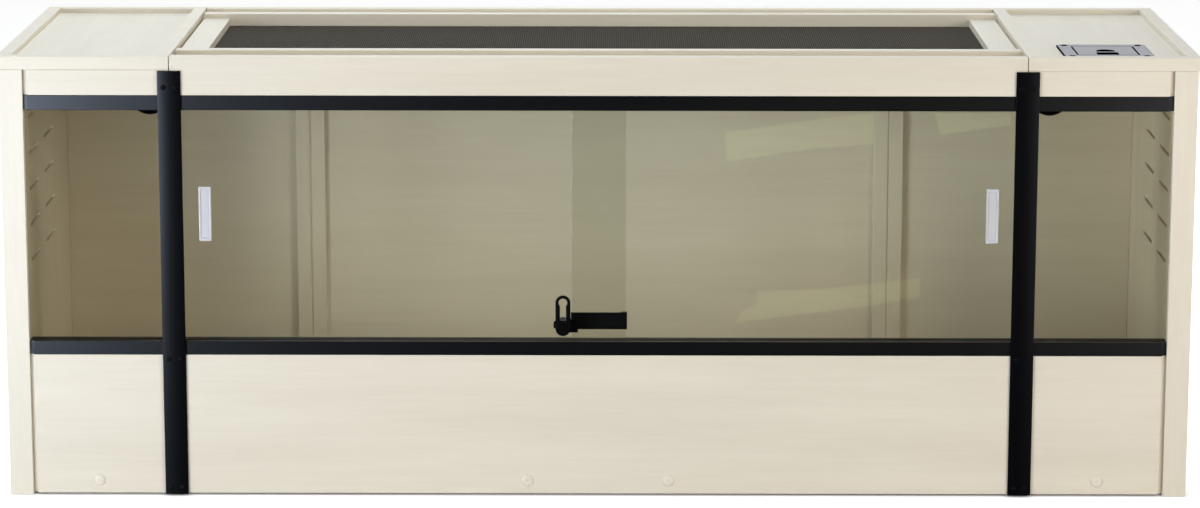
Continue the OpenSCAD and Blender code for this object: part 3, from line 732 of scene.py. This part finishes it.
class TERRARIUM_OT_battens(Operator):
    """Draw the joint battens with their crowned faces, and the dividers behind them"""

    bl_idname = "terrarium.battens"
    bl_label = "Battens"

    def execute(self, context):
        sizes = context.scene.terrarium_sizes
        edge, half_divider, overlap = sizes.track_edge, DIVIDER / 2, 0.5 * MM
        foot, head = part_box("door_left")[0].z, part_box("track_top_middle")[0].z
        for node, joint in (("batten_left", -JOINT), ("batten_right", JOINT)):
            low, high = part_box(node)
            face = self.section((high.x - low.x) / 2, low.y - FRONT, sizes.crown, edge)
            points, quads = swept_section(face, rounded_ends(low.z, high.z, edge))
            divider = rounded_slab((joint - half_divider, FRONT - overlap, foot),
                                   (joint + half_divider, high.y, head), edge, 3)
            new_piece(node + "_crowned", [(points + (joint, FRONT, 0), quads), divider],
                      material("batten"), body_of(node), (node,))
        return {"FINISHED"}

    @staticmethod
    def section(half, depth, crown, edge):
        """Section of the face strip, whose depth is below zero, in front of the boards.

        The face lies at the depth plus the crown times (across / half) squared. Each front
        corner is rounded through one point between its two ends.
        """
        across = np.linspace(-half + edge, half - edge, 13)
        out = depth + crown * (across / half) ** 2
        shoulder = out[0] + edge
        near, far = 0.3 * edge, 0.7 * edge
        ends = [[half - near, shoulder - far], [half, shoulder], [half, 0],
                [-half, 0], [-half, shoulder], [-half + near, shoulder - far]]
        return np.concatenate([np.stack([across, out], 1), ends])


class TERRARIUM_OT_glass(Operator):
    """Make the panes of float glass with ground edges"""

    bl_idname = "terrarium.glass"
    bl_label = "Glass"

    def execute(self, context):
        edge = context.scene.terrarium_sizes.glass_edge
        for node, finish in PANES.items():
            low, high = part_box(node)
            new_piece(node + "_glass", [rounded_slab(low, high, edge, 3)], material(finish),
                      body_of(node), (node,), 30)
        return {"FINISHED"}


class TERRARIUM_OT_screen(Operator):
    """Weave the screen's wires"""

    bl_idname = "terrarium.screen"
    bl_label = "Screen mesh"

    def execute(self, context):
        sizes = context.scene.terrarium_sizes
        low, high = (np.array(c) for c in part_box("screen_mesh"))
        lower, upper = 0.32, 0.68  # heights of the two layers, as shares of the thickness
        parts = []
        for along, across, level in ((0, 1, lower), (1, 0, upper)):
            count = int((high[across] - low[across]) / sizes.wire_pitch)
            place = np.linspace(low[across] + sizes.wire, high[across] - sizes.wire, count)
            parts.append(self.wires(low, high, along, across, place, level, sizes.wire))
        new_piece("screen_wires", parts, material("wire"), "screen", ("screen_mesh",))
        return {"FINISHED"}

    @staticmethod
    def wires(low, high, along, across, place, level, thick):
        """Square bars in one direction: one bar's eight corners, repeated at each place."""
        half = thick / 2
        corner = np.array([[-1, -1], [1, -1], [1, 1], [-1, 1]]) * half
        points = np.zeros((len(place), 2, 4, 3))
        points[:, 0, :, along] = low[along]
        points[:, 1, :, along] = high[along]
        points[..., across] = place[:, None, None] + corner[:, 0]
        middle = low[2] + (high[2] - low[2]) * level
        points[..., 2] = np.clip(middle + corner[:, 1], low[2], high[2])
        sides = np.array([[0, 1, 5, 4], [1, 2, 6, 5], [2, 3, 7, 6], [3, 0, 4, 7],
                          [3, 2, 1, 0], [4, 5, 6, 7]])
        quads = sides[None] + 8 * np.arange(len(place))[:, None, None]
        return points.reshape(-1, 3), quads.reshape(-1, 4)


class TERRARIUM_OT_fasteners(Operator):
    """Turn the batten screws and hatch screws with their crosses, and the cam caps"""

    bl_idname = "terrarium.fasteners"
    bl_label = "Screws and caps"

    def execute(self, context):
        deep = context.scene.terrarium_sizes.screw_recess
        pan = cross_head(np.multiply(PAN_HEAD, MM), deep, reach=2.1 * MM, arm=0.8 * MM)
        screws = [placed(pan, (side * JOINT + off, FRONT - BATTEN, z), "-Y")
                  for side in (-1, 1) for off in (-SCREW_OFF, SCREW_OFF) for z in SCREW_HEIGHTS]
        new_piece("batten_screw_heads", screws, material("screw"), "cabinet",
                  ("batten_screws",))
        flush = cross_head(np.multiply(SUNK_HEAD, MM), deep, reach=2.6 * MM, arm=0.9 * MM)
        low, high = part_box("hatch_screws")
        inset = HATCH_SCREW_INSET
        corners = [placed(flush, (x, y, low.z)) for x in (low.x + inset, high.x - inset)
                   for y in (low.y + inset, high.y - inset)]
        new_piece("hatch_screw_heads", corners, material("black_plastic"), "cabinet",
                  ("hatch_screws",))
        cap = turned_profile(np.multiply(CAP_DOME, MM), 48)
        caps = [placed(cap, (x, FRONT, CAP_HEIGHT), "-Y") for x in CAP_PLACES]
        new_piece("cam_cap_domes", caps, material("cream_plastic"), "cabinet",
                  ("cam_caps",))
        return {"FINISHED"}


class TERRARIUM_OT_pulls(Operator):
    """Mould the finger pulls with their rims and hollows"""

    bl_idname = "terrarium.pulls"
    bl_label = "Finger pulls"

    def execute(self, context):
        sizes = context.scene.terrarium_sizes
        for node in ("pull_left", "pull_right"):
            low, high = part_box(node)
            x, _, z = middle_of(low, high)
            rings = self.rings((high.x - low.x) / 2, (high.z - low.z) / 2, high.y - low.y,
                               sizes.pull_rim, sizes.pull_dish)
            new_piece(node + "_moulded", [placed(ring_surface(rings), (x, high.y, z), "-Y")],
                      material("frosted"), body_of(node), (node,))
        return {"FINISHED"}

    @staticmethod
    def rings(half_x, half_z, thick, rim, dish):
        """Rings up the sides, over the rim and down into the hollow.

        Each has its inset all round, a further inset at its ends, and its height. The corner
        radius loses half the inset, down to its least size.
        """
        corner, least = 1 * MM, 0.6 * MM
        steps = (
            (0, 0, 0), (0, 0, thick - 0.7 * MM), (0.2 * MM, 0, thick - 0.2 * MM),
            (0.7 * MM, 0, thick), (rim - 0.4 * MM, 0.6 * rim, thick),
            (rim, 0.5 * rim, thick - 0.25 * MM), (rim + 0.5 * MM, 0.5 * rim, thick - dish),
            (rim + 2 * MM, 0.5 * rim, thick - dish))
        return [(0, 0, half_x - a, half_z - a - b, max(corner - 0.5 * a, least), h)
                for a, b, h in steps]


class TERRARIUM_OT_grommets(Operator):
    """Turn the cable grommets and the glides"""

    bl_idname = "terrarium.grommets"
    bl_label = "Grommets and glides"

    def execute(self, context):
        ring = turned_profile(np.multiply(GROMMET_RING, MM), 72, True)
        for node in ("grommet_left", "grommet_right"):
            low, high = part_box(node)
            x, _, z = middle_of(low, high)
            new_piece(node + "_turned", [placed(ring, (x, low.y + GROMMET_LIP, z), "-Y")],
                      material("black_plastic"), "cabinet", (node,))
        low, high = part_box("glides")
        foot = turned_profile(np.multiply(GLIDE_FOOT, MM), 40)
        places = [(side * x, y, 0) for side in (-1, 1) for x in GLIDE_PLACES
                  for y in (low.y + GLIDE_RADIUS, high.y - GLIDE_RADIUS)] + [(0, 0, 0)]
        new_piece("glide_pads", [placed(foot, p) for p in places], material("nylon"), "cabinet",
                  ("glides",))
        return {"FINISHED"}


class TERRARIUM_OT_lock(Operator):
    """Round the edges of the lock's barrel, lever and ratchet bar"""

    bl_idname = "terrarium.lock"
    bl_label = "Lock"

    def execute(self, context):
        edge = context.scene.terrarium_sizes.lock_edge
        softened_copy("lock_barrel", material("black_metal"), edge)
        softened_copy("lock_lever", material("black_metal"), edge)
        softened_copy("lock_bar", material("black_metal"), 0.5 * edge)
        return {"FINISHED"}


class TERRARIUM_OT_hatch(Operator):
    """Mould the feeding hatch: its plate, its lid, the ribbed latch and the pin"""

    bl_idname = "terrarium.hatch"
    bl_label = "Feeding hatch"

    def execute(self, context):
        edge = context.scene.terrarium_sizes.hatch_edge
        softened_copy("hatch_plate", material("grey_plastic"), edge)
        softened_copy("hatch_lid", material("grey_plastic"), edge)
        # The black seal and gasket also paint the shadow in the gaps round the lid and the plate.
        self.seals_and_gap_shadow(*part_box("hatch_plate"), *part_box("hatch_lid"))
        # A black lining round the finger hole's wall, which paints the shade inside the hole.
        sleeve = self.sleeve(*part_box("hatch_latch"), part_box("hatch_lid")[1].z)
        new_piece("finger_hole_sleeve", [sleeve], material("black_plastic"), "hatch_lid")
        low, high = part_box("hatch_latch")
        raised = 1.1 * MM
        high.z += raised
        new_piece("hatch_latch_ribbed", [self.latch(low, high, edge)], material("black_plastic"),
                  body_of("hatch_latch"), ("hatch_latch",))
        low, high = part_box("hatch_pin")
        _, y, z = middle_of(low, high)
        pin = self.pin((high.z - low.z) / 2, high.x - low.x, bevel=0.3 * MM)
        new_piece("hatch_pin_drawn", [placed(pin, (low.x, y, z), "+X")], material("steel"),
                  "cabinet", ("hatch_pin",))
        return {"FINISHED"}

    @staticmethod
    def pin(radius, length, bevel):
        """Round bar with bevelled ends."""
        return turned_profile(
            [(0, 0), (radius - bevel, 0), (radius, bevel), (radius, length - bevel),
             (radius - bevel, length), (0, length)], 24)

    @staticmethod
    def seals_and_gap_shadow(low, high, lid_low, lid_high):
        """Black seal beside and before the lid, and the gasket that the plate lies on: partly real
        black seals, partly painted shadow of the gaps round the lid and the plate.
        """
        gap, width, bead, proud = 0.15 * MM, 2.25 * MM, 0.7 * MM, 0.12 * MM
        overlap, rounding, knuckles = 0.1 * MM, 0.1 * MM, 4 * MM
        left, right, front = lid_low.x - gap, lid_high.x + gap, lid_low.y - gap
        back = lid_high.y - knuckles
        spans = ((left - width, left, back), (right, right + width, back),
                 (left - overlap, right + overlap, front))
        strips = [rounded_slab((x0, front - bead, lid_low.z), (x1, y1, high.z + proud), rounding)
                  for x0, x1, y1 in spans]
        new_piece("hatch_seal", strips, material("black_plastic"), "cabinet")
        x, y, _ = middle_of(low, high)
        half = (high.x - low.x) / 2
        foot, top, slope = lid_low.z, high.z - 0.3 * MM, 0.3 * MM
        inner, crest, outer = -0.5 * MM, 0.9 * MM, 1.2 * MM
        steps = ((inner, foot), (inner, top), (crest, top), (outer, top - slope), (outer, foot))
        rings = [(x, y, half + out, half + out, HATCH_CORNER + out, z) for out, z in steps]
        new_piece("hatch_gasket", [ring_surface(rings, True)], material("black_plastic"),
                  "cabinet")

    @staticmethod
    def sleeve(latch_low, latch_high, top):
        """D-shaped black lining of the finger hole, painted shade inside the hole: a half circle
        on a rectangle, drawn in by an inset.

        The rings go down the inner wall and up the outer one, so the surface closes on itself.
        """
        middle = (latch_low.x + latch_high.x) / 2
        flat = latch_low.y + FINGER_HOLE_BEHIND_LATCH
        inset, height = np.multiply(SLEEVE_WALL, MM).T[..., None]
        angle = np.linspace(0, math.pi, 25)
        radius = FINGER_HOLE_RADIUS - inset
        x = np.concatenate([radius * np.cos(angle), -radius, radius], 1)
        y = np.concatenate([FINGER_HOLE_STRAIGHT + radius * np.sin(angle), inset, inset], 1)
        points = np.stack([middle + x, flat + y, top + height + 0 * x], -1)
        return points.reshape(-1, 3), grid_quads(*x.shape, True, True)

    @staticmethod
    def latch(low, high, edge):
        """Thumb pad swept along X: its top leans to the front and is ribbed by a cosine."""
        steps, ribs, rib_height, border = 49, 5, 0.12 * MM, 1.5 * MM
        across = np.linspace(low.y + border, high.y - border, steps)
        wave = rib_height * np.cos(np.linspace(0, 2 * math.pi * ribs, steps))
        lean = 0.3 * MM * np.linspace(1, 0.1, steps)
        top = np.stack([across, high.z - lean - wave], 1)
        ends = [[high.y, high.z], [high.y, low.z], [low.y, low.z], [low.y, high.z]]
        pad = swept_section(np.concatenate([top, ends]), rounded_ends(low.x, high.x, edge))
        return placed(pad, (0, 0, 0), "+X")


class TERRARIUM_OT_stage(Operator):
    """Set up the floor, the lights, the world and the camera"""

    bl_idname = "terrarium.stage"
    bl_label = "Stage"

    def execute(self, context):
        stage = context.scene.terrarium_stage
        context.scene.view_settings.view_transform = "Standard"
        self.floor(stage.lift)
        self.world(context, stage.world, stage.mirrored)
        self.cards(stage.cards)
        for name, setting, *rest in LIGHTS:
            lamp = self.light(name, getattr(stage, setting), *rest)
            if name == "Back":
                lamp.visible_glossy = False
            elif name.startswith("Sheen"):  # a light for glossy surfaces alone
                lamp.visible_camera = lamp.visible_diffuse = lamp.visible_transmission = False
        data = bpy.data.cameras.new("Camera")
        data.lens = stage.lens
        data.sensor_width = 36
        camera = bpy.data.objects.new("Camera", data)
        context.scene.collection.objects.link(camera)
        camera.matrix_world = (
            Matrix.Translation(Vector(stage.camera_place))
            @ Matrix.Rotation(stage.yaw, 4, "Z")
            @ Matrix.Rotation(math.pi / 2 - stage.pitch, 4, "X")
            @ Matrix.Rotation(stage.roll, 4, "Z"))
        context.scene.camera = camera
        return {"FINISHED"}

    @staticmethod
    def floor(lift):
        """A large disc, lifted to white for the camera except close under the cabinet."""
        points, quads = turned_profile([(0.0, 0.0), (FLOOR_RADIUS, 0.0)], 64)
        made, tree, shader = stage_mesh(
            "floor", points.tolist(), quads.tolist(), "White floor",
            {"Base Color": (0.8, 0.8, 0.8, 1), "Roughness": 0.9, "Specular IOR Level": 0.1,
             "Emission Color": (1, 1, 1, 1)})
        path = tree.nodes.new("ShaderNodeLightPath")
        contact = tree.nodes.new("ShaderNodeAmbientOcclusion")
        set_inputs(contact, {"Distance": CONTACT_SHADOW})
        white = math_node(tree, "MULTIPLY", path.outputs["Is Camera Ray"], lift)
        tree.links.new(math_node(tree, "MULTIPLY", white, contact.outputs["AO"]),
                       shader.inputs["Emission Strength"])
        made.visible_glossy = False
        made.visible_transmission = False

    @staticmethod
    def cards(strength):
        """Flat glowing cards in front of the cabinet, which only mirrored rays can see: painted
        reflections on the glass.
        """
        points = [(x, CARD_FRONT, z) for outline in CARDS for x, z in outline]
        count = np.cumsum([0] + [len(outline) for outline in CARDS])
        faces = [tuple(range(a, b)) for a, b in zip(count, count[1:])]
        made, _, _ = stage_mesh(
            "mirrored_cards", points, faces, "Pale card",
            {"Base Color": (0, 0, 0, 1), "Emission Color": (0.9, 1.0, 0.45, 1),
             "Emission Strength": strength})
        made.visible_camera = made.visible_diffuse = made.visible_transmission = False
        made.visible_shadow = False

    @staticmethod
    def world(context, strength, mirrored):
        """White for the camera and, in mirrors and glass, behind the cabinet; dim in front of it.

        Rays that light the surfaces meet the same soft strength from every side.
        """
        made = bpy.data.worlds.new("Studio")
        context.scene.world = made
        made.use_nodes = True
        tree = made.node_tree
        back = tree.nodes["Background"]
        set_inputs(back, {"Color": (1, 1, 1, 1)})
        path = tree.nodes.new("ShaderNodeLightPath")
        turned = math_node(tree, "MAXIMUM", path.outputs["Is Glossy Ray"],
                           path.outputs["Is Transmission Ray"])
        towards = tree.nodes.new("ShaderNodeSeparateXYZ")
        tree.links.new(tree.nodes.new("ShaderNodeTexCoord").outputs["Generated"],
                       towards.inputs[0])
        behind = tree.nodes.new("ShaderNodeMapRange")
        set_inputs(behind, {"From Min": -0.2, "From Max": 0.5, "To Min": mirrored})
        tree.links.new(towards.outputs["Y"], behind.inputs["Value"])
        level = tree.nodes.new("ShaderNodeMapRange")
        set_inputs(level, {"To Min": strength})
        tree.links.new(behind.outputs["Result"], level.inputs["To Max"])
        tree.links.new(turned, level.inputs["Value"])
        white = math_node(tree, "MAXIMUM", path.outputs["Is Camera Ray"], level.outputs["Result"])
        tree.links.new(white, back.inputs["Strength"])

    @staticmethod
    def light(name, power, place, size, colour, towards):
        """A flat area light at a place, aimed at a point."""
        data = bpy.data.lights.new(name, "AREA")
        data.shape = "RECTANGLE"
        data.size, data.size_y = size
        data.energy = power
        data.color = colour
        made = bpy.data.objects.new(name, data)
        bpy.context.scene.collection.objects.link(made)
        aim = Vector(towards) - Vector(place)
        made.matrix_world = (
            Matrix.Translation(place) @ aim.to_track_quat("-Z", "Y").to_matrix().to_4x4())
        return made


class TERRARIUM_PT_panel(Panel):
    """Lists the terrarium's operators and settings"""

    bl_label = "Terrarium"
    bl_space_type = "VIEW_3D"
    bl_region_type = "UI"
    bl_category = "Terrarium"

    def draw(self, context):
        for step in STEPS:
            self.layout.operator(step.bl_idname)
        for group in ("terrarium_finish", "terrarium_sizes", "terrarium_stage"):
            settings = getattr(context.scene, group)
            box = self.layout.box()
            for key in settings.__annotations__:
                box.prop(settings, key)


STEPS = (
    TERRARIUM_OT_stage, TERRARIUM_OT_boards, TERRARIUM_OT_tracks, TERRARIUM_OT_battens,
    TERRARIUM_OT_glass, TERRARIUM_OT_screen, TERRARIUM_OT_fasteners, TERRARIUM_OT_pulls,
    TERRARIUM_OT_grommets, TERRARIUM_OT_lock, TERRARIUM_OT_hatch,
)
CLASSES = (TerrariumFinish, TerrariumSizes, TerrariumStage, *STEPS, TERRARIUM_PT_panel)


def register():
    """Registers the classes and hangs the settings on the scene."""
    for kind in CLASSES:
        bpy.utils.register_class(kind)
    bpy.types.Scene.terrarium_finish = PointerProperty(type=TerrariumFinish)
    bpy.types.Scene.terrarium_sizes = PointerProperty(type=TerrariumSizes)
    bpy.types.Scene.terrarium_stage = PointerProperty(type=TerrariumStage)


def unregister():
    """Takes the settings and the classes away again."""
    for group in ("terrarium_stage", "terrarium_sizes", "terrarium_finish"):
        delattr(bpy.types.Scene, group)
    for kind in reversed(CLASSES):
        bpy.utils.unregister_class(kind)


def main():
    """Runs every step in order."""
    register()
    for step in STEPS:
        family, name = step.bl_idname.split(".")
        getattr(getattr(bpy.ops, family), name)()


if __name__ == "__main__":
    main()
